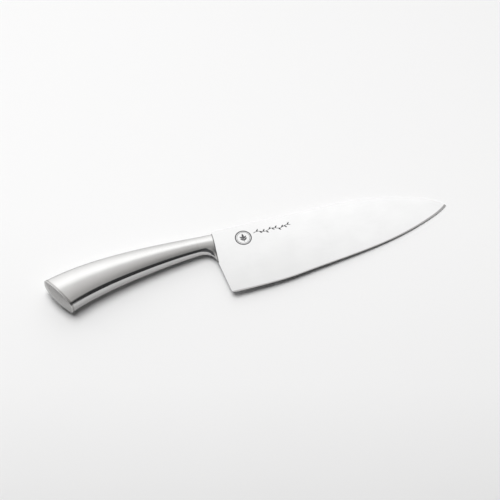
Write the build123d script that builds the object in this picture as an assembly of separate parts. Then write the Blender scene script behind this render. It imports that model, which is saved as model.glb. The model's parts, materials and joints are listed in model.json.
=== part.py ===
"""Chef knife with a welded hollow steel handle, lying on its side.

Millimetres. The knife is drawn flat first, in its own drawing frame: X runs along
the spine of the blade towards the tip, Y towards the spine, Z is the thickness, and
(0, 0, 0) is where the spine meets the front of the handle, on the middle plane.
Every piece is then laid down as the knife rests on a table, on the swell of the
handle and on the tip, with the origin at the bottom centre of the whole knife.
"""
from build123d import *
import math
import os

# ---- blade -------------------------------------------------------------------------
SPINE_THICKNESS = 2.2          # at the handle
DISTAL_TAPER = 0.35 / 150      # half-thickness lost per mm towards the tip
GRIND_TAPER = 0.86 / 52        # half-thickness lost per mm from spine to edge
TIP = (169.5, -22.3)
SPINE_START = (0.0, 0.0)
SPINE_POINTS = ((92.0, 0.0), (121.0, -2.9), (146.5, -9.2), TIP)
EDGE_POINTS = (TIP, (155.0, -29.7), (122.0, -39.4), (60.0, -48.3), (5.0, -51.6))
HEEL_TOP = (-1.9, -25.2)
HEEL_BOTTOM = (0.5, -49.4)
HEEL_CORNER = (0.7, -51.6)     # the two tangents of the rounded heel corner meet here
EDGE_TANGENTS = ((-0.78, -0.62), (-1, 0))
BEVEL_ANGLE = 12.0             # of the cutting bevel to the middle plane, each side
BEVEL_LAND = 0.03              # half-thickness left at the very edge
BEVEL_REACH = 2.5              # how far the bevel cutter goes up the blade
BEVEL_MARGIN = 0.5             # how far it stands out past the edge
TANG_TOP = -4.4
TANG_BOTTOM = -12.4
TANG_LENGTH = 38.0
TANG_THICKNESS = 1.7
TANG_NOSE = 3.0                # corners cut off the end of the tang
TANG_ROOT = 2.0                # it is one piece with the blade from here back

# ---- handle, outside ---------------------------------------------------------------
# Each section of the grip is given by its point on the spine side and its point on
# the belly, from the neck to the rim of the butt cap.
GRIP_SECTIONS = (
    ((-12.5, -2.0), (-12.5, -15.4)),
    ((-38.0, -1.3), (-36.0, -17.9)),
    ((-67.0, -1.7), (-63.0, -22.5)),
    ((-96.0, -4.3), (-88.0, -28.4)),
    ((-122.0, -10.0), (-108.3, -35.6)),
)
NECK_X = GRIP_SECTIONS[0][0][0]
BUTT_X = GRIP_SECTIONS[-1][0][0]
NECK_THICKNESS = 9.8
BUTT_THICKNESS = 16.2
NECK_SHOULDER = 3.0            # radius of the rounded shoulders
BUTT_SHOULDER = 4.0
NECK_FLAT = 1.1                # half-height of the flat strip on each side
BUTT_FLAT = 2.4
FLARE_RADIUS = 9.8             # concave sweep from the neck down to the heel
FLARE_ANGLES = (0, 16, 38, 64) # its sections, in degrees round that sweep
FRONT_SPINE = (-0.6, -2.3)
FRONT_WIDTH = 13.2             # of the thick part, without the flare
FRONT_EASING = -0.12           # the bolster goes on thinning towards the blade
FLARE_EDGE = 0.8               # half-thickness where the flare runs into the heel
CAP_BULGE = 2.7                # the cap stands this far out at its middle
DOME_RINGS = (1, 0.8, 0.55, 0.3, 0.06)  # sizes of the rings that the dome runs through

# ---- handle, inside ----------------------------------------------------------------
WALL = 1.2                     # pressed steel of the two shells
CAP_PLATE = 1.6
CAP_SPIGOT = 3.0
BOLSTER_SPIGOT = 6.0
WELD_WIDTH = 0.8
PIN_RADIUS = 1.5
PIN_LENGTH = 7.0
PIN_X = -15.5
TANG_MIDDLE = (TANG_TOP + TANG_BOTTOM) / 2
WEIGHT_RADIUS = 4.0
WEIGHT_FRONT = -30.0
WEIGHT_LENGTH = 28.0
SAND_FRONT = -66.0

REACH = 400.0                  # larger than the knife, for cutting blocks
REST_STEPS = 6                 # rounds of turning the knife until it lies still


def blade_outline():
    """The blade without its tang, flat on the middle plane."""
    edges = [
        Line(SPINE_START, SPINE_POINTS[0]),
        Spline(*SPINE_POINTS, tangents=((1, 0), (0.60, -0.80))),
        Spline(*EDGE_POINTS, tangents=EDGE_TANGENTS),
        Bezier(EDGE_POINTS[-1], HEEL_CORNER, HEEL_BOTTOM),
        Line(HEEL_BOTTOM, HEEL_TOP),
        Line(HEEL_TOP, SPINE_START),
    ]
    return make_face(edges)


def make_tang():
    """The stub tang, a little thinner than the blade, with its end corners cut off."""
    end = -TANG_LENGTH
    corners = (
        (TANG_ROOT, TANG_TOP),
        (end + TANG_NOSE, TANG_TOP),
        (end, TANG_TOP - TANG_NOSE),
        (end, TANG_BOTTOM + TANG_NOSE),
        (end + TANG_NOSE, TANG_BOTTOM),
        (TANG_ROOT, TANG_BOTTOM),
    )
    outline = make_face(Polyline(*corners, close=True))
    return extrude(Pos(0, 0, -TANG_THICKNESS / 2) * outline, TANG_THICKNESS)


def side_plane(side):
    """The flat ground face of the blade on one side (+1 or -1)."""
    normal = Vector(DISTAL_TAPER, -GRIND_TAPER, 1)
    return Plane(
        origin=(0, 0, side * SPINE_THICKNESS / 2),
        z_dir=(normal.X, normal.Y, side),
    )


def make_blade():
    """Blade with its stub tang, ground flat on both sides, with a cutting bevel."""
    plate = extrude(Pos(0, 0, -SPINE_THICKNESS) * blade_outline(), 2 * SPINE_THICKNESS)
    for side in (1, -1):
        plate = split(plate, bisect_by=side_plane(side), keep=Keep.BOTTOM)
        plate -= bevel_cutter(side)
    return plate + make_tang()


def bevel_cutter(side):
    """A wedge swept along the cutting edge, which takes the bevel off one side."""
    edge = Spline(*EDGE_POINTS, tangents=EDGE_TANGENTS)
    before_tip = Line(edge @ 0 - (edge % 0) * BEVEL_REACH, edge @ 0)
    past_heel = Line(edge @ 1, edge @ 1 + (edge % 1) * 2 * BEVEL_REACH)
    path = Wire([before_tip, edge, past_heel])
    along = path % 0
    start = Plane(origin=path @ 0, x_dir=(along.Y, -along.X, 0), z_dir=along)
    rise = math.tan(math.radians(BEVEL_ANGLE))
    low = side * (BEVEL_LAND - BEVEL_MARGIN * rise)
    high = side * (BEVEL_LAND + BEVEL_REACH * rise)
    corners = ((-BEVEL_MARGIN, low), (BEVEL_REACH, high), (-BEVEL_MARGIN, high))
    wedge = make_face(Polyline(*corners, close=True))
    return sweep(start * wedge, path=path)


def eased(neck_value, butt_value, along):
    """A size that grows from the neck (0) to the butt (1) and levels out there."""
    return neck_value + (butt_value - neck_value) * math.sin(math.pi / 2 * along)


def across_plane(spine_point, belly_point):
    """A plane across the handle through two points of its outline, facing the blade."""
    spine_point = Vector(*spine_point)
    belly_point = Vector(*belly_point)
    across = (spine_point - belly_point).normalized()
    return Plane(
        origin=(spine_point + belly_point) / 2,
        x_dir=across,
        z_dir=across.cross(Vector(0, 0, 1)),
    )


def barrel(width, along, inset=0.0, flare=0.0):
    """The closed outline of one section, drawn flat: a barrel with round shoulders.

    inset shrinks it by the wall of the shells. flare is how far its belly side
    reaches on towards the heel as a thinning web.
    """
    half_width = width / 2 - inset
    top = eased(NECK_THICKNESS, BUTT_THICKNESS, along) / 2 - inset
    radius = eased(NECK_SHOULDER, BUTT_SHOULDER, along) - inset
    flat = eased(NECK_FLAT, BUTT_FLAT, along)

    # the broad arc is tangent to both shoulder circles
    corner_x = half_width - radius
    rise = top - flat
    arc_radius = (corner_x**2 + rise**2 - radius**2) / (2 * (rise - radius))
    lean = math.atan2(arc_radius - rise, corner_x)
    touch = Vector(corner_x + radius * math.cos(lean), flat + radius * math.sin(lean))
    slope = Vector(math.sin(lean), -math.cos(lean))
    pull = 4 / 3 * math.tan(lean / 4) * radius

    # the belly side ends in the flat strip, or in the thin edge of the flare
    share = min(1, 1.5 * flare / FLARE_RADIUS)
    tail = Vector(half_width + flare, flat + (FLARE_EDGE - flat) * share)
    settle = math.pi / 2 * (1 - share)
    tail_slope = Vector(-math.cos(settle), math.sin(settle))
    spine_end = Vector(half_width, flat)
    spine_side = (touch, touch + slope * pull, spine_end + Vector(0, pull), spine_end)
    belly_side = (
        touch,
        touch + slope * (pull + 0.3 * flare),
        tail + tail_slope * (pull + 0.35 * flare),
        tail,
    )

    def place(points, side, face):
        return [Vector(side * p.X, face * p.Y) for p in points]

    edges = [
        ThreePointArc(*place((touch, Vector(0, top)), 1, 1), *place((touch,), -1, 1)),
        Bezier(*place(belly_side, -1, 1)),
        Line(*place((tail,), -1, 1), *place((tail,), -1, -1)),
        Bezier(*place(reversed(belly_side), -1, -1)),
        ThreePointArc(*place((touch, Vector(0, top)), -1, -1), *place((touch,), 1, -1)),
        Bezier(*place(spine_side, 1, -1)),
        Line(*place((spine_end,), 1, -1), spine_end),
        Bezier(*place(reversed(spine_side), 1, 1)),
    ]
    return make_face(edges)


def distance(point, other):
    return (Vector(*point) - Vector(*other)).length


def grip_sections(inset=0.0):
    """The sections of the grip, from the neck to the rim of the butt."""
    last = len(GRIP_SECTIONS) - 1
    return [
        across_plane(*points) * barrel(distance(*points), number / last, inset)
        for number, points in enumerate(GRIP_SECTIONS)
    ]


def flare_section(angle):
    """A section of the bolster, fanned round the sweep into the heel."""
    neck_spine, neck_belly = GRIP_SECTIONS[0]
    turn = math.radians(angle)
    share = angle / 90
    tail = (
        HEEL_TOP[0] - FLARE_RADIUS * (1 - math.cos(turn)),
        HEEL_TOP[1] + FLARE_RADIUS * math.sin(turn),
    )
    start = Vector(*FRONT_SPINE)
    spine_point = start + (Vector(*neck_spine) - start) * share
    spine_point = (spine_point.X, spine_point.Y)
    width = FRONT_WIDTH + (distance(neck_spine, neck_belly) - FRONT_WIDTH) * share
    flare = max(distance(spine_point, tail) - width, 0)
    plane = across_plane(spine_point, tail)
    outline = Pos(flare / 2, 0, 0) * barrel(width, FRONT_EASING * (1 - share), 0, flare)
    return plane * outline


def ahead_of(plane, solid):
    """The part of a solid on the blade's side of a plane across the handle."""
    return split(solid, bisect_by=plane, keep=Keep.TOP)


def behind(plane, solid):
    """The part of a solid on the butt's side of a plane across the handle."""
    return split(solid, bisect_by=plane, keep=Keep.BOTTOM)


def cross_plane(x):
    """A plane square across the drawing frame, facing the blade."""
    return Plane(origin=(x, 0, 0), x_dir=(0, 1, 0), z_dir=(1, 0, 0))


def butt_plane(forward):
    """The slanted plane of the rim of the butt, moved forward into the handle."""
    return across_plane(*GRIP_SECTIONS[-1]).offset(forward)


def between(front, back, solid):
    """The slice of a solid between two planes across the handle."""
    return behind(front, ahead_of(back, solid))


def slab(half_height):
    """A flat block over the whole knife, either side of the middle plane."""
    return Box(REACH, REACH, 2 * half_height)


def make_bolster(cavity, blade, pin):
    """Solid neck with the flare, a spigot for the shells, and the slot for the tang."""
    sections = [flare_section(angle) for angle in FLARE_ANGLES]
    neck = loft([*sections, grip_sections()[0]])
    spigot = between(cross_plane(NECK_X), cross_plane(NECK_X - BOLSTER_SPIGOT), cavity)
    return neck + spigot - blade - pin


def make_pin():
    """Cross pin that holds the tang in the spigot of the bolster."""
    return Pos(PIN_X, TANG_MIDDLE, 0) * Cylinder(PIN_RADIUS, PIN_LENGTH)


def make_cap(grip, cavity):
    """Butt cap: a domed plate welded on the end, with a spigot inside the shells."""
    joint = butt_plane(CAP_PLATE)
    plate = behind(joint, grip)
    spigot = between(butt_plane(CAP_PLATE + CAP_SPIGOT), joint, cavity)
    return plate + make_dome() + spigot


def make_dome():
    """The shallow dome of the cap, crowned like a pillow over its flat rim."""
    rim = barrel(distance(*GRIP_SECTIONS[-1]), 1)
    rings = [
        butt_plane(-CAP_BULGE * (1 - share**2)) * scale(rim, by=share)
        for share in DOME_RINGS
    ]
    return loft(rings)


def make_shell_pieces(grip, cavity):
    """The two pressed shells and the weld metal that joins them and their ends."""
    tube = grip - cavity
    neck_joint = cross_plane(NECK_X)
    neck_edge = cross_plane(NECK_X - WELD_WIDTH)
    butt_edge = butt_plane(CAP_PLATE + WELD_WIDTH)
    neck_weld = between(neck_joint, neck_edge, tube)
    butt_weld = between(butt_edge, butt_plane(CAP_PLATE), tube)
    sleeve = between(neck_edge, butt_edge, tube)
    seams = sleeve & slab(WELD_WIDTH / 2)
    halves = sleeve - slab(WELD_WIDTH / 2)
    belly_seam, spine_seam = seams.solids().sort_by(Axis.Y)
    lower_shell, upper_shell = halves.solids().sort_by(Axis.Z)
    return {
        "handle_shell_upper": upper_shell,
        "handle_shell_lower": lower_shell,
        "spine_seam_weld": spine_seam,
        "belly_seam_weld": belly_seam,
        "neck_weld": neck_weld,
        "butt_weld": butt_weld,
    }


def make_weight(blade):
    """Steel balance bar, slotted and pushed over the end of the tang."""
    bar = Cylinder(WEIGHT_RADIUS, WEIGHT_LENGTH, rotation=(0, 90, 0))
    middle = WEIGHT_FRONT - WEIGHT_LENGTH / 2
    slot_depth = WEIGHT_FRONT + TANG_LENGTH
    slot = Box(slot_depth, 3 * WEIGHT_RADIUS, SPINE_THICKNESS)
    bar = Pos(middle, TANG_MIDDLE, 0) * bar
    return bar - Pos(WEIGHT_FRONT - slot_depth / 2, TANG_MIDDLE, 0) * slot - blade


def make_sand(cavity):
    """Dry sand that fills the rear of the handle up to the cap."""
    return between(cross_plane(SAND_FRONT), butt_plane(CAP_PLATE + CAP_SPIGOT), cavity)


def make_pieces():
    """Every piece of the knife in the drawing frame, by name."""
    grip = loft(grip_sections())
    cavity = loft(grip_sections(inset=WALL))
    blade = make_blade()
    pin = make_pin()
    return {
        "blade": blade - pin,
        "bolster": make_bolster(cavity, blade, pin),
        "tang_pin": pin,
        **make_shell_pieces(grip, cavity),
        "butt_cap": make_cap(grip, cavity),
        "balance_weight": make_weight(blade),
        "sand_filling": make_sand(cavity),
    }


def rest_place(pieces):
    """Where the knife lies: the turn about Y that lets handle and tip touch down."""
    handle = Compound([pieces["handle_shell_lower"], pieces["butt_cap"]])
    turn = 0.0
    for _ in range(REST_STEPS):
        laid = Rotation(0, turn, 0)
        gap = (laid * pieces["blade"]).bounding_box().min.Z - (laid * handle).bounding_box().min.Z
        turn += math.degrees(gap / (TIP[0] - BUTT_X))
    laid = Rotation(0, turn, 0)
    box = Compound([laid * piece for piece in pieces.values()]).bounding_box()
    return Pos(-box.center().X, -box.center().Y, -box.min.Z) * laid


def main():
    pieces = make_pieces()
    place = rest_place(pieces)
    os.makedirs("parts", exist_ok=True)
    for name, piece in pieces.items():
        export_step(place * piece, f"parts/{name}.step")


if __name__ == "__main__":
    main()
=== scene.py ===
"""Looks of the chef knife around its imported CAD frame. Metres, in the frame of the CAD.

The knife lies on its side with +X towards the tip, +Y towards the spine and +Z up.
"""

import json
import math

import bmesh
import bpy
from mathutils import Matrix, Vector


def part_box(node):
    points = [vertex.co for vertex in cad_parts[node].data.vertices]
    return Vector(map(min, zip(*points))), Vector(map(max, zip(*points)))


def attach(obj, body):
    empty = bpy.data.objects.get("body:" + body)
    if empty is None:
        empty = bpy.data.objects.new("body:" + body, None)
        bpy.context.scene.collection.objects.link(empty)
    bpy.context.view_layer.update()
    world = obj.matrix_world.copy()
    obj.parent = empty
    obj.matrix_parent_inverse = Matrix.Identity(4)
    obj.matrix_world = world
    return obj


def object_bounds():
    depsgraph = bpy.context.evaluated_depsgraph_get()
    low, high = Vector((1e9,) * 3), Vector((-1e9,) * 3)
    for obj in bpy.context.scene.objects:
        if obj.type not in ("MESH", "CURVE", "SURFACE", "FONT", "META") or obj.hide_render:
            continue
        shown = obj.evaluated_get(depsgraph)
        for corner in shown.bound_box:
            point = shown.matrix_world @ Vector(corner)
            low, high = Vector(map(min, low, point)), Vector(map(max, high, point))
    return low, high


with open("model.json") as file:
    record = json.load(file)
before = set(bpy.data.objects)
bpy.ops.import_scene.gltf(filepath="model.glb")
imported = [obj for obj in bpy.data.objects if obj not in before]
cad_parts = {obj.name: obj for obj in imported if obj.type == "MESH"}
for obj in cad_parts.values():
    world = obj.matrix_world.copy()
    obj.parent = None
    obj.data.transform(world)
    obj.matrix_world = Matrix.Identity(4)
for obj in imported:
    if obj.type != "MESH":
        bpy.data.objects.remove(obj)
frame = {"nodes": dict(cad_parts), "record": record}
cad_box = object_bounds()

MM = 0.001

# ---- camera ------------------------------------------------------------------------
VIEW_AZIMUTH = -16.66          # degrees, 0 looks along +Y
VIEW_ELEVATION = 57.0
VIEW_DISTANCE = 0.989
VIEW_LENS = 100.8              # mm on a 36 mm sensor
VIEW_CLIP = 0.01               # nothing nearer than this is drawn
VIEW_AIM = Vector((-0.6, 7.5, 0.0)) * MM  # from the middle of the knife's base

# ---- knife -------------------------------------------------------------------------
NECK_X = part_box("neck_weld")[1][0]
HANDLE_BEND = 1.35             # the handle falls by this times the distance squared

# ---- beads on the rims -------------------------------------------------------------
RIM_CREASE = math.radians(25)  # a face ends where its surface turns by more than this
RIM_FACING = 0.8               # least cosine between a face and the way that its rim faces
RIM_WELD = 0.001 * MM          # corners closer than this are one
BUTT_OUTWARDS = Vector((-0.88, -0.47, 0.0))  # the butt is cut off at a slant
BUTT_RIM_RADIUS = 0.25 * MM
BUTT_RIM_SINK = 0.14 * MM      # how far a bead's middle lies inside the corner
LIP_OUTWARDS = Vector((1.0, 0.0, 0.0))
LIP_RADIUS = 0.40 * MM
LIP_SINK = 0.15 * MM

# ---- etched mark, in mm unless it says otherwise -----------------------------------
MARK_HEIGHT = 0.03 * MM        # metres that the mark's oxide stands out
MARK_DEPTH = 0.02 * MM         # metres that it reaches into the steel
LEAF_STEPS = 8
LEAF_TIP = 0.05                # width that a leaf keeps at its ends
EMBLEM_MIDDLE = (21.0, -10.5)  # from the bolster, and up from the spine
EMBLEM_RINGS = ((5.6, 0.8), (4.6, 0.3))      # radius and width of each ring
EMBLEM_RING_POINTS = 64
SPRIG_STEM = 3.2
SPRIG_STEM_WIDTHS = (0.5, 0.4)
SPRIG_TOP_LEAF = (3.6, 1.5)    # length and width
SPRIG_SIDE_LEAF = (3.2, 1.2)
SPRIG_SIDE_HEIGHTS = (1.0, 2.6)
SPRIG_SIDE_ANGLES = (38, 142)  # degrees
TWIG_START = (29.0, -8.6)
TWIG_LENGTH = 27.5
TWIG_WIDTH = 0.4
TWIG_POINTS = 48               # steps along it, with a leaf at every fourth
TWIG_WAVE = 0.7                # how far it swings to either side
TWIG_WAVES = 2.5
TWIG_LEAF = (2.5, 1.0)
TWIG_LEAF_ANGLE = 48           # degrees

# ---- studio ------------------------------------------------------------------------
LAMP_TURN = 47.0               # degrees from straight behind the knife, to the left
LAMP_ELEVATION = 74.0
LAMP_DISTANCE = 2.2
LAMP_SIZE = 1.6
LAMP_POWER = 36.4              # watts
SKY_ON_FLOOR = 0.7             # share of the surroundings' light that reaches matt things
FLOOR_RADIUS = 4.0
FLOOR_GAP = 0.02 * MM          # the floor lies this far under the knife
FLOOR_SIDES = 96
FLOOR_ROUGHNESS = 0.6
FLOOR_PATCHES = 9.0            # patches per metre in which the painted shade wanders
FLOOR_CLOUD = 0.02             # they shift the painted shade by up to this many metres
FLOOR_SPAN = 0.6               # metres that the shades below cover, half to each side
# Painted shade on the pale paper of the floor, standing in for the lamp's light falling off on the near
# side: metres away, and its shade
FLOOR_PAINTED_SHADE = (
    (-0.30, 0.65),
    (-0.235, 0.72),
    (-0.155, 0.825),
    (-0.09, 0.885),
    (0.05, 0.92),
    (0.30, 0.90),
)
# Brightness of the surroundings by angle from straight up, in degrees. Positive angles
# lean away from the camera, to the big soft light behind the knife.
SKY = (
    (-90, (0.15, 0.151, 0.155)),
    (-50, (0.11, 0.111, 0.115)),
    (-14, (0.085, 0.086, 0.09)),
    (-10, (0.46, 0.455, 0.45)),
    (2, (0.66, 0.65, 0.64)),
    (12, (0.84, 0.83, 0.82)),
    (22, (0.95, 0.94, 0.93)),
    (30, (1.08, 1.08, 1.075)),
    (33.2, (1.42, 1.42, 1.42)),
    (36, (1.62, 1.62, 1.62)),
    (44, (1.80, 1.80, 1.80)),
    (58, (1.60, 1.60, 1.60)),
    (90, (0.85, 0.85, 0.85)),
)
# How much of that is left to either side, in degrees, negative to the left
SKY_ACROSS = (
    (-90, 0.60),
    (-30, 0.90),
    (-8, 1.00),
    (4, 0.98),
    (12, 0.87),
    (25, 0.60),
    (45, 0.25),
    (90, 0.12),
)
# Two weak soft panels far to the left and right of the camera, which show in the steel
# but don't light the floor
FILL = (
    (-90, (0.55, 0.55, 0.56)),
    (-55, (0.60, 0.60, 0.61)),
    (-35, (0.40, 0.40, 0.41)),
    (-22, (0.00, 0.00, 0.00)),
)
FILL_ACROSS = (
    (-90, 1.0),
    (-72, 1.0),
    (-60, 0.0),
    (48, 0.0),
    (56, 1.0),
    (90, 1.0),
)


# ---- small helpers -----------------------------------------------------------------
def add_object(name, data):
    """A new object in the scene."""
    made = bpy.data.objects.new(name, data)
    bpy.context.scene.collection.objects.link(made)
    return made


def view_direction(azimuth, elevation):
    """Unit vector from the aim of a view towards its camera."""
    across = math.cos(math.radians(elevation))
    turn = math.radians(azimuth)
    height = math.sin(math.radians(elevation))
    return Vector((across * math.sin(turn), -across * math.cos(turn), height))


class Nodes:
    """Short calls for building one node tree."""

    def __init__(self, tree):
        self.tree = tree
        tree.nodes.clear()

    def add(self, kind, inputs=None, **settings):
        """A new node, with its settings, and its inputs given as values or sockets."""
        node = self.tree.nodes.new(kind)
        for name, value in settings.items():
            setattr(node, name, value)
        for name, value in (inputs or {}).items():
            if isinstance(value, bpy.types.NodeSocket):
                self.tree.links.new(value, node.inputs[name])
            else:
                node.inputs[name].default_value = value
        return node

    def math(self, operation, *values):
        return self.add("ShaderNodeMath", dict(enumerate(values)), operation=operation).outputs[0]

    def dot(self, vector, direction):
        inputs = {0: vector, 1: direction}
        node = self.add("ShaderNodeVectorMath", inputs, operation="DOT_PRODUCT")
        return node.outputs["Value"]

    def turned(self, angle):
        """An angle from -90 to 90 degrees as a number from 0 to 1."""
        inputs = {"Value": angle, "From Min": -math.pi / 2, "From Max": math.pi / 2}
        return self.add("ShaderNodeMapRange", inputs).outputs["Result"]

    def ramp(self, factor, stops):
        """A colour ramp through (position, colour) stops."""
        node = self.add("ShaderNodeValToRGB", {"Fac": factor})
        elements = node.color_ramp.elements
        while len(elements) < len(stops):
            elements.new(1.0)
        for element, (position, colour) in zip(elements, stops):
            element.position = position
            element.color = (*colour, 1.0)
        return node.outputs["Color"]

    def noise(self, vector, scale, detail=2.0, roughness=0.5):
        inputs = {"Vector": vector, "Scale": scale, "Detail": detail, "Roughness": roughness}
        return self.add("ShaderNodeTexNoise", inputs).outputs["Fac"]

    def output(self, kind, shader):
        """Makes a shader the surface of the material or the world."""
        self.add(f"ShaderNodeOutput{kind}", {"Surface": shader})

    def spread(self, value, low, high):
        """Maps a value in 0 to 1 onto low to high."""
        inputs = {"Value": value, "To Min": low, "To Max": high}
        return self.add("ShaderNodeMapRange", inputs).outputs["Result"]


# ---- studio ------------------------------------------------------------------------
def make_camera():
    data = bpy.data.cameras.new("camera")
    data.lens = VIEW_LENS
    data.clip_start = VIEW_CLIP
    camera = add_object("camera", data)
    low, high = cad_box
    aim = Vector(((low[0] + high[0]) / 2, (low[1] + high[1]) / 2, low[2])) + VIEW_AIM
    away = view_direction(VIEW_AZIMUTH, VIEW_ELEVATION)
    camera.location = aim + away * VIEW_DISTANCE
    camera.rotation_euler = away.to_track_quat("Z", "Y").to_euler()
    bpy.context.scene.camera = camera


def soft_light(nodes, lean, turn, leans, turns, share):
    """A glow whose colour follows the lean of a direction, and its strength the turn."""
    colour = nodes.ramp(lean, [((angle + 90) / 180, shade) for angle, shade in leans])
    across = nodes.ramp(turn, [((angle + 90) / 180, (part,) * 3) for angle, part in turns])
    strength = nodes.math("MULTIPLY", across, share)
    return nodes.add("ShaderNodeBackground", {"Color": colour, "Strength": strength}).outputs[0]


def make_sky():
    """Surroundings that are bright behind and above the knife and dark before it."""
    world = bpy.data.worlds.new("studio")
    bpy.context.scene.world = world
    world.use_nodes = True
    nodes = Nodes(world.node_tree)
    direction = nodes.add("ShaderNodeTexCoord").outputs["Generated"]
    away = nodes.dot(direction, view_direction(VIEW_AZIMUTH + 180, 0))
    right = nodes.dot(direction, view_direction(VIEW_AZIMUTH + 90, 0))
    up = nodes.add("ShaderNodeSeparateXYZ", {"Vector": direction}).outputs["Z"]
    lean = nodes.turned(nodes.math("ARCTAN2", away, up))
    turn = nodes.turned(nodes.math("ARCSINE", right))
    mirrored = nodes.add("ShaderNodeLightPath").outputs["Is Glossy Ray"]
    sky = soft_light(nodes, lean, turn, SKY, SKY_ACROSS, nodes.spread(mirrored, SKY_ON_FLOOR, 1.0))
    fill = soft_light(nodes, lean, turn, FILL, FILL_ACROSS, mirrored)
    nodes.output("World", nodes.add("ShaderNodeAddShader", {0: sky, 1: fill}).outputs[0])


def make_lamp():
    """A soft lamp that lights the floor and matt things but doesn't show in the steel."""
    data = bpy.data.lights.new("back_light", "AREA")
    data.shape = "DISK"
    data.size = LAMP_SIZE
    data.energy = LAMP_POWER
    lamp = add_object("back_light", data)
    away = view_direction(VIEW_AZIMUTH + 180 + LAMP_TURN, LAMP_ELEVATION)
    lamp.location = away * LAMP_DISTANCE
    lamp.rotation_euler = away.to_track_quat("Z", "Y").to_euler()
    lamp.visible_glossy = False


def make_floor():
    """A wide sheet of pale paper, with painted shade that greys it off towards the camera."""
    mesh = bpy.data.meshes.new("floor")
    shape = bmesh.new()
    bmesh.ops.create_circle(shape, cap_ends=True, radius=FLOOR_RADIUS, segments=FLOOR_SIDES)
    shape.to_mesh(mesh)
    shape.free()
    floor = add_object("floor", mesh)
    floor.location.z = -FLOOR_GAP
    nodes, material = new_material("floor")
    place = nodes.add("ShaderNodeTexCoord").outputs["Object"]
    soft = nodes.math("MULTIPLY", nodes.noise(place, FLOOR_PATCHES), FLOOR_CLOUD)
    away = nodes.dot(place, view_direction(VIEW_AZIMUTH + 180, 0))
    depth = nodes.math("ADD", nodes.math("ADD", away, soft), FLOOR_SPAN / 2)
    depth = nodes.math("DIVIDE", depth, FLOOR_SPAN)
    # painted shade: the floor's colour darkens towards the camera in place of light falloff
    stops = [(way / FLOOR_SPAN + 0.5, (shade,) * 3) for way, shade in FLOOR_PAINTED_SHADE]
    inputs = {"Base Color": nodes.ramp(depth, stops), "Roughness": FLOOR_ROUGHNESS}
    nodes.output("Material", nodes.add("ShaderNodeBsdfPrincipled", inputs).outputs[0])
    mesh.materials.append(material)


# ---- materials ---------------------------------------------------------------------
LINE_SHARE = 0.35              # of the wear that comes from the polishing lines
CLOUD_SHARE = 0.65             # and from soft patches
CLOUD_SCALE = 60.0             # patches per metre
DULLED = 0.955                 # brightness that worn steel keeps
SCRATCH_SCALE = 0.25           # scale of the scratches where that of the lines is 1
SCRATCH_SHARE = 0.5
GROOVE = 0.05 * MM             # depth of a line at full strength
SAND_GRAINS = 1900.0           # per metre


def new_material(name):
    """A material and the short calls for building its tree."""
    material = bpy.data.materials.new(name)
    material.use_nodes = True
    return Nodes(material.node_tree), material


def grain_place(nodes, bend):
    """Object coordinates, straightened where the knife curves down towards its butt."""
    place = nodes.add("ShaderNodeTexCoord").outputs["Object"]
    if not bend:
        return place
    parts = nodes.add("ShaderNodeSeparateXYZ", {"Vector": place}).outputs
    behind = nodes.math("MINIMUM", nodes.math("SUBTRACT", parts["X"], NECK_X), 0.0)
    sag = nodes.math("MULTIPLY", nodes.math("MULTIPLY", behind, behind), bend)
    across = nodes.math("ADD", parts["Y"], sag)
    straight = {"X": parts["X"], "Y": across, "Z": parts["Z"]}
    return nodes.add("ShaderNodeCombineXYZ", straight).outputs[0]


def steel(name, shade, gloss, grain=(40, 2500, 2500), depth=0.05, bend=0.0):
    """Polished steel with the fine lines that its last polish left.

    gloss is its lowest and highest roughness. grain says how fine the lines are along
    each axis, in turns of the pattern per metre, and depth how strongly they show.
    """
    nodes, material = new_material(name)
    place = grain_place(nodes, bend)
    stretch = nodes.add("ShaderNodeMapping", {"Vector": place, "Scale": grain}).outputs[0]
    lines = nodes.noise(stretch, 1.0, 3.0)
    scratches = nodes.noise(stretch, SCRATCH_SCALE, 1.0)
    cloud = nodes.noise(place, CLOUD_SCALE, 3.0)
    lined = nodes.math("MULTIPLY", lines, LINE_SHARE)
    wear = nodes.math("ADD", lined, nodes.math("MULTIPLY", cloud, CLOUD_SHARE))
    dull = tuple(value * DULLED for value in shade)
    colour = nodes.ramp(wear, [(0.35, shade), (0.65, dull)])
    height = nodes.math("ADD", lines, nodes.math("MULTIPLY", scratches, SCRATCH_SHARE))
    bump = nodes.add("ShaderNodeBump", {"Height": height, "Strength": depth, "Distance": GROOVE})
    inputs = {
        "Base Color": colour,
        "Metallic": 1.0,
        "Roughness": nodes.spread(wear, *gloss),
        "Normal": bump.outputs[0],
    }
    nodes.output("Material", nodes.add("ShaderNodeBsdfPrincipled", inputs).outputs[0])
    return material


def sand_grains():
    """Dry sand: pale, dark and reddish grains of about half a millimetre."""
    nodes, material = new_material("sand")
    place = nodes.add("ShaderNodeTexCoord").outputs["Object"]
    grains = nodes.add("ShaderNodeTexVoronoi", {"Vector": place, "Scale": SAND_GRAINS}).outputs
    pick = nodes.add("ShaderNodeSeparateColor", {"Color": grains["Color"]}).outputs["Red"]
    shades = [
        (0.0, (0.30, 0.22, 0.14)),
        (0.2, (0.62, 0.48, 0.30)),
        (0.7, (0.74, 0.62, 0.42)),
        (1.0, (0.84, 0.78, 0.64)),
    ]
    bump = {"Height": grains["Distance"], "Strength": 0.8, "Distance": 0.0003}
    inputs = {
        "Base Color": nodes.ramp(pick, shades),
        "Roughness": 0.9,
        "Normal": nodes.add("ShaderNodeBump", bump, invert=True).outputs[0],
    }
    nodes.output("Material", nodes.add("ShaderNodeBsdfPrincipled", inputs).outputs[0])
    return material


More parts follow.
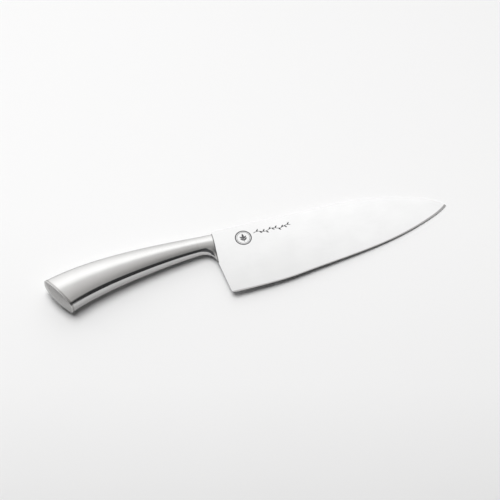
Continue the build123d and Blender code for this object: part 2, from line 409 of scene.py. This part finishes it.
def etched():
    """The dark, slightly uneven oxide of an etched mark."""
    nodes, material = new_material("etched_mark")
    place = nodes.add("ShaderNodeTexCoord").outputs["Object"]
    specks = nodes.noise(place, 1500.0, 4.0, 0.7)
    inputs = {
        "Base Color": nodes.ramp(specks, [(0.3, (0.05, 0.05, 0.055)), (0.75, (0.13, 0.13, 0.135))]),
        "Roughness": nodes.spread(specks, 0.5, 0.7),
    }
    nodes.output("Material", nodes.add("ShaderNodeBsdfPrincipled", inputs).outputs[0])
    return material


def dress_knife():
    """Gives every CAD node its finished material."""
    handle = steel("handle_steel", (0.60, 0.597, 0.592), (0.13, 0.17), bend=HANDLE_BEND)
    weld = steel("weld_steel", (0.595, 0.59, 0.58), (0.14, 0.18), (900, 1400, 1400), 0.04)
    turned = steel("inner_steel", (0.42, 0.42, 0.41), (0.30, 0.42), (1600, 120, 120), 0.3)
    materials = {
        "blade": steel("blade_steel", (0.71, 0.71, 0.71), (0.07, 0.10), (30, 3000, 3000), 0.03),
        # The cap's steel is painted darker than the handle's: painted shade for the shadowed floor that
        # it reflects, on top of its duller brushed finish
        "butt_cap": steel("cap_steel", (0.40, 0.395, 0.39), (0.24, 0.30), (1500, 1500, 60)),
        "tang_pin": turned,
        "balance_weight": turned,
        "sand_filling": sand_grains(),
    }
    for name, node in frame["nodes"].items():
        material = weld if name.endswith("_weld") else materials.get(name, handle)
        node.data.materials.clear()
        node.data.materials.append(material)


# ---- rounded rims ------------------------------------------------------------------
def outer_rim(name, outwards):
    """The corner round the outermost face of a CAD node, as (point, way in) pairs."""
    shape = bmesh.new()
    shape.from_mesh(frame["nodes"][name].data)
    bmesh.ops.remove_doubles(shape, verts=shape.verts, dist=RIM_WELD)
    facing = [face for face in shape.faces if face.normal.dot(outwards) > RIM_FACING]
    seed = max(facing, key=lambda face: face.calc_center_median().dot(outwards))
    patch = {seed}
    waiting = [seed]
    while waiting:
        for edge in waiting.pop().edges:
            if edge.calc_face_angle(math.pi) < RIM_CREASE:
                found = [face for face in edge.link_faces if face not in patch]
                patch.update(found)
                waiting.extend(found)
    links = {}
    for face in (face for face in shape.faces if face in patch):
        for edge in face.edges:
            if any(other not in patch for other in edge.link_faces):
                for vert in edge.verts:
                    links.setdefault(vert, []).append(edge)
    rims = []
    while links:
        start = min(links, key=lambda vert: vert.index)
        rim = [start]
        while links.get(rim[-1]):
            edge = links.pop(rim[-1])[0]
            step = edge.other_vert(rim[-1])
            if step not in links:
                break
            links[step] = [other for other in links[step] if other is not edge]
            rim.append(step)
        rims.append(rim)
    rim = max(rims, key=len)
    points = [(vert.co.copy(), -sum((f.normal for f in vert.link_faces), Vector())) for vert in rim]
    shape.free()
    return [(point, inwards.normalized()) for point, inwards in points]


def make_bead(name, rim, radius, sink, material):
    """A fine rounded lip along the corner of a CAD piece, partly sunk in it."""
    data = bpy.data.curves.new(name, "CURVE")
    data.dimensions = "3D"
    data.bevel_depth = radius
    data.bevel_resolution = 3
    spline = data.splines.new("POLY")
    spline.points.add(len(rim) - 1)
    for point, (corner, inwards) in zip(spline.points, rim):
        point.co = (*(corner + inwards * sink), 1.0)
    spline.use_cyclic_u = True
    data.materials.append(material)
    piece = add_object(name, data)
    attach(piece, "root")


def make_beads():
    """The lips round the butt cap and round the front of the bolster."""
    polished = steel("polished_rim", (0.64, 0.635, 0.63), (0.10, 0.14), (1200, 1200, 1200), 0.02)
    cap_rim = outer_rim("butt_cap", BUTT_OUTWARDS)
    make_bead("butt_rim", cap_rim, BUTT_RIM_RADIUS, BUTT_RIM_SINK, polished)
    # The bolster's lip is painted dark grey: painted shade standing in for the shadowed gap and dark
    # reflection at the front of the bolster
    ground = steel("bolster_lip_painted_shade", (0.34, 0.34, 0.335), (0.24, 0.32), (1200, 1200, 1200), 0.1)
    front_rim = outer_rim("bolster", LIP_OUTWARDS)
    make_bead("bolster_lip", front_rim, LIP_RADIUS, LIP_SINK, ground)


# ---- etched mark -------------------------------------------------------------------
class Ribbons:
    """Flat closed ribbons that lie on the upper side of the blade.

    A point is given by how far it is along the blade from the bolster, and how far
    below the spine, both measured on the ground side.
    """

    def __init__(self, name):
        self.name = name
        self.shape = bmesh.new()
        side = next(m for m in frame["record"]["mounts"] if m["name"] == "blade_side")
        self.up = Vector(side["axis"]).normalized()
        self.along = (Vector((1, 0, 0)) - self.up * self.up.x).normalized()
        self.across = self.up.cross(self.along)
        middle = Vector(side["pos_m"])
        start = Vector((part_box("bolster")[1][0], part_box("blade")[1][1], middle.z)) - middle
        self.corner = middle + self.along * start.dot(self.along) + self.across * start.dot(self.across)

    def place(self, point, height):
        """Where a flat point lies, at a height over the side of the blade."""
        x, y = point
        return self.corner + self.along * x + self.across * y + self.up * height

    def add(self, points, widths, closed=False):
        """One ribbon through flat points, with its width at each of them."""
        count = len(points)
        sections = []
        for number, (point, width) in enumerate(zip(points, widths)):
            before = points[number - 1] if number or closed else point
            after = points[(number + 1) % count] if number < count - 1 or closed else point
            run = Vector(after) - Vector(before)
            side = Vector((-run.y, run.x)).normalized() * width / 2
            edges = (Vector(point) + side, Vector(point) - side)
            corners = [(edges[0], -MARK_DEPTH), (edges[0], MARK_HEIGHT)]
            corners += [(edges[1], MARK_HEIGHT), (edges[1], -MARK_DEPTH)]
            sections.append([self.shape.verts.new(self.place(*corner)) for corner in corners])
        pairs = list(zip(sections, sections[1:]))
        if closed:
            pairs.append((sections[-1], sections[0]))
        else:
            self.shape.faces.new(sections[0])
            self.shape.faces.new(reversed(sections[-1]))
        for one, other in pairs:
            for k in range(4):
                self.shape.faces.new((one[k - 1], other[k - 1], other[k], one[k]))

    def finish(self, material):
        """Makes the ribbons one piece of the knife."""
        bmesh.ops.recalc_face_normals(self.shape, faces=self.shape.faces[:])
        mesh = bpy.data.meshes.new(self.name)
        self.shape.to_mesh(mesh)
        self.shape.free()
        mesh.materials.append(material)
        piece = add_object(self.name, mesh)
        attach(piece, "root")


def leaf(ribbons, root, angle, size):
    """A pointed leaf from its root, at an angle in degrees to the blade's length."""
    length, width = (part * MM for part in size)
    way = Vector((math.cos(math.radians(angle)), math.sin(math.radians(angle))))
    shares = [step / LEAF_STEPS for step in range(LEAF_STEPS + 1)]
    points = [Vector(root) + way * length * share for share in shares]
    widths = [LEAF_TIP * MM + width * math.sin(math.pi * share**0.8) for share in shares]
    ribbons.add(points, widths)


def circle(middle, radius, count):
    """Flat points round a middle, evenly spaced."""
    turns = [2 * math.pi * number / count for number in range(count)]
    return [Vector(middle) + radius * Vector((math.cos(turn), math.sin(turn))) for turn in turns]


def make_emblem(material):
    """Two rings round a sprig of five leaves."""
    ribbons = Ribbons("etched_emblem")
    middle = Vector(EMBLEM_MIDDLE) * MM
    for radius, width in EMBLEM_RINGS:
        points = circle(middle, radius * MM, EMBLEM_RING_POINTS)
        ribbons.add(points, [width * MM] * EMBLEM_RING_POINTS, closed=True)
    foot = middle - Vector((0, SPRIG_STEM * MM))
    ribbons.add([foot, middle], [width * MM for width in SPRIG_STEM_WIDTHS])
    leaf(ribbons, middle, 90, SPRIG_TOP_LEAF)
    for height in SPRIG_SIDE_HEIGHTS:
        for angle in SPRIG_SIDE_ANGLES:
            leaf(ribbons, foot + Vector((0, height * MM)), angle, SPRIG_SIDE_LEAF)
    ribbons.finish(material)


def make_twig(material):
    """A long wavy twig with small leaves."""
    ribbons = Ribbons("etched_twig")
    start = Vector(TWIG_START) * MM
    points = []
    for step in range(TWIG_POINTS + 1):
        share = step / TWIG_POINTS
        wave = TWIG_WAVE * math.sin(2 * math.pi * TWIG_WAVES * share)
        points.append(start + Vector((TWIG_LENGTH * share, wave)) * MM)
    ribbons.add(points, [TWIG_WIDTH * MM] * len(points))
    for number, point in enumerate(points[4:-4:4]):
        side = -1 if number % 2 else 1
        leaf(ribbons, point, TWIG_LEAF_ANGLE * side, TWIG_LEAF)
    ribbons.finish(material)


make_camera()
make_sky()
make_lamp()
make_floor()
dress_knife()
make_beads()
mark_material = etched()
make_emblem(mark_material)
make_twig(mark_material)
bpy.context.scene.view_settings.view_transform = "Standard"
